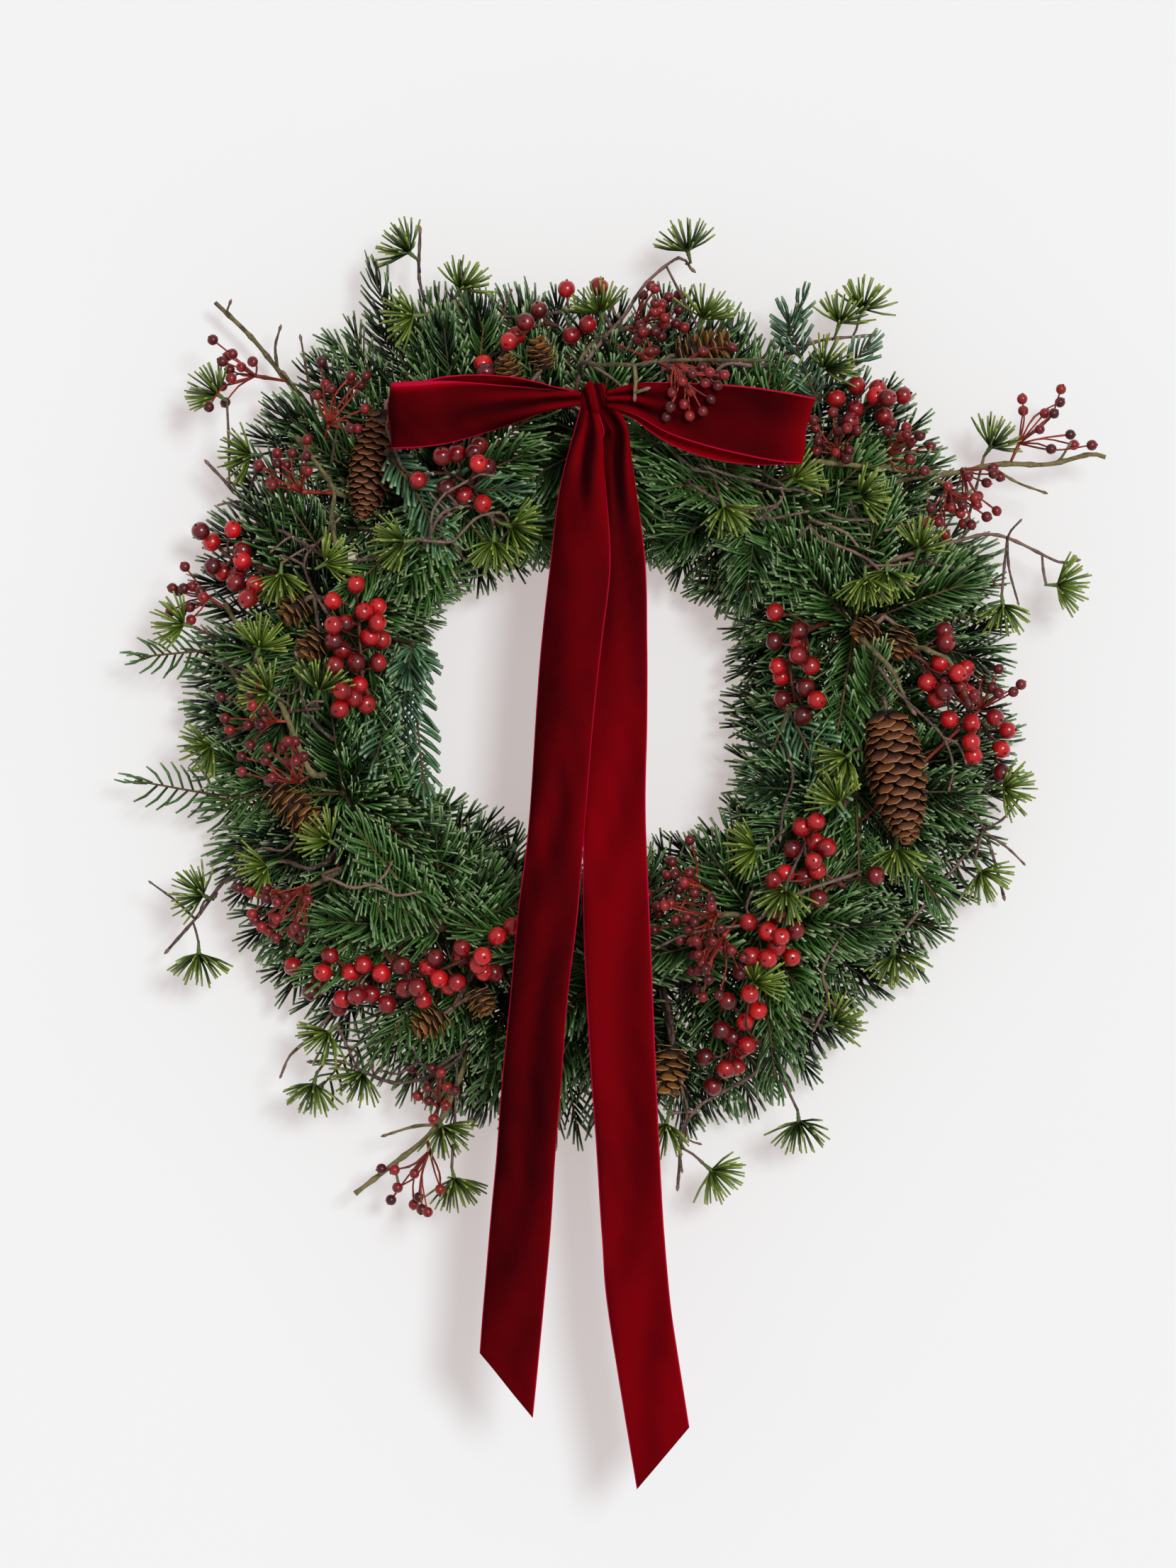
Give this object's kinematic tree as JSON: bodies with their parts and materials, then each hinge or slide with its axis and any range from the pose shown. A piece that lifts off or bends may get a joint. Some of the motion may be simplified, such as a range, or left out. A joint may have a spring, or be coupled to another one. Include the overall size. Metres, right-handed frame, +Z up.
{
  "type": "berry wreath",
  "caption": "Round wreath of needle sprays, larch-like tufts, berries and cones on a vine ring, with a long-tailed velvet bow at the top; hangs flat on a wall or door.",
  "frame": {"origin": "where the nail or hook bears, under the inside top of the vine ring", "axes": "+Z up along the wall, -Y out of the wall towards the viewer, +X to the viewer's right"},
  "size_m": [0.6144, 0.11, 0.7775],
  "materials": {
    "vine": "matte bark",
    "velvet": "crimson velvet",
    "red_berry": "glossy lacquered berries",
    "dusty_berry": "satin dusty red",
    "cone_scale": "dry woody scales",
    "spruce_needle": "semi-gloss needles",
    "fir_needle": "soft waxy needles",
    "tuft_needle": "satin yellow-green needles"
  },
  "bodies": {
    "root": {"berry_bunch_bottom_left": "red_berry", "berry_bunch_bottom_left_outer": "red_berry", "berry_bunch_bottom_right": "red_berry", "berry_bunch_left_inner": "red_berry", "berry_bunch_left_outer": "red_berry", "berry_bunch_lower_right": "red_berry", "berry_bunch_right_inner": "red_berry", "berry_bunch_right_lower": "red_berry", "berry_bunch_right_of_loop": "red_berry", "berry_bunch_right_outer": "red_berry", "berry_bunch_top": "red_berry", "berry_bunch_under_left_loop": "red_berry", "bow_knot": "velvet", "bow_loop_left": "velvet", "bow_loop_right": "velvet", "bow_tail_left": "velvet", "bow_tail_right": "velvet", "cone_big_right": "cone_scale", "cone_bottom_left": "cone_scale", "cone_bottom_right": "cone_scale", "cone_left": "cone_scale", "cone_lower_left": "cone_scale", "cone_right": "cone_scale", "cone_top": "cone_scale", "cone_top_right": "cone_scale", "cone_upper_left": "cone_scale", "dusty_twig_left": "dusty_berry", "dusty_twig_left_low": "dusty_berry", "dusty_twig_lower_left": "dusty_berry", "dusty_twig_lower_right": "dusty_berry", "dusty_twig_right": "dusty_berry", "dusty_twig_top": "dusty_berry", "dusty_twig_upper_left": "dusty_berry", "fir_spray_inner_left": "fir_needle", "fir_spray_inner_right": "fir_needle", "fir_spray_upper_left": "fir_needle", "fir_spray_upper_right": "fir_needle", "spruce_spray_01": "spruce_needle", "spruce_spray_02": "spruce_needle", "spruce_spray_03": "spruce_needle", "spruce_spray_04": "spruce_needle", "spruce_spray_05": "spruce_needle", "spruce_spray_06": "spruce_needle", "spruce_spray_07": "spruce_needle", "spruce_spray_08": "spruce_needle", "spruce_spray_09": "spruce_needle", "spruce_spray_10": "spruce_needle", "tuft_twig_bottom_left": "tuft_needle", "tuft_twig_bottom_right": "tuft_needle", "tuft_twig_left": "tuft_needle", "tuft_twig_left_low": "tuft_needle", "tuft_twig_right": "tuft_needle", "tuft_twig_right_low": "tuft_needle", "tuft_twig_top": "tuft_needle", "tuft_twig_top_left": "tuft_needle", "tuft_twig_top_right": "tuft_needle", "tuft_twig_upper_inner": "tuft_needle", "tuft_twig_upper_left": "tuft_needle", "twig_ring": "vine"}
  },
  "joints": []
}
